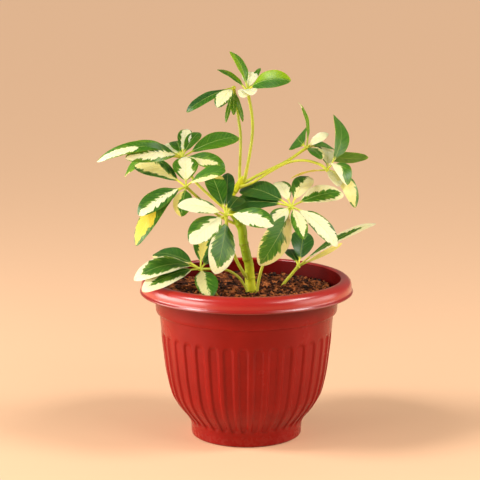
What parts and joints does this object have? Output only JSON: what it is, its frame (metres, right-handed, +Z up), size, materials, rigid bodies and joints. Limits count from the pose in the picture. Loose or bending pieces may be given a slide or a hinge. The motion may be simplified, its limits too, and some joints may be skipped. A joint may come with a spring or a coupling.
{
  "type": "potted umbrella plant",
  "caption": "Small variegated umbrella plant with a bent trunk and long-stalked leaves of radiating leaflets, growing in soil in a round fluted plastic pot with a rolled rim.",
  "frame": {"origin": "centre of the pot's flat underside", "axes": "+Z up along the pot's axis, -Y towards the front of the plant, +X to its right"},
  "size_m": [0.2594, 0.202, 0.3639],
  "materials": {
    "pot": "glossy moulded red plastic",
    "soil": "rough moist coir chips and crumbs",
    "bark": "satin young bark, green with brown leaf scars",
    "leaf": "waxy leaf, deep green with cream variegation",
    "stalk": "dry yellow stalk"
  },
  "bodies": {
    "root": {"pot": "pot", "soil": "soil", "trunk": "bark", "leaf_front": "leaf", "leaf_right": "leaf", "leaf_left": "leaf", "leaf_left_high": "leaf", "leaf_crown_left": "leaf", "leaf_crown_right": "leaf", "leaf_far_right_high": "leaf", "leaf_far_right": "leaf", "leaf_soil_right": "leaf", "leaf_soil_left": "leaf", "stalk_stump": "stalk"}
  },
  "joints": []
}
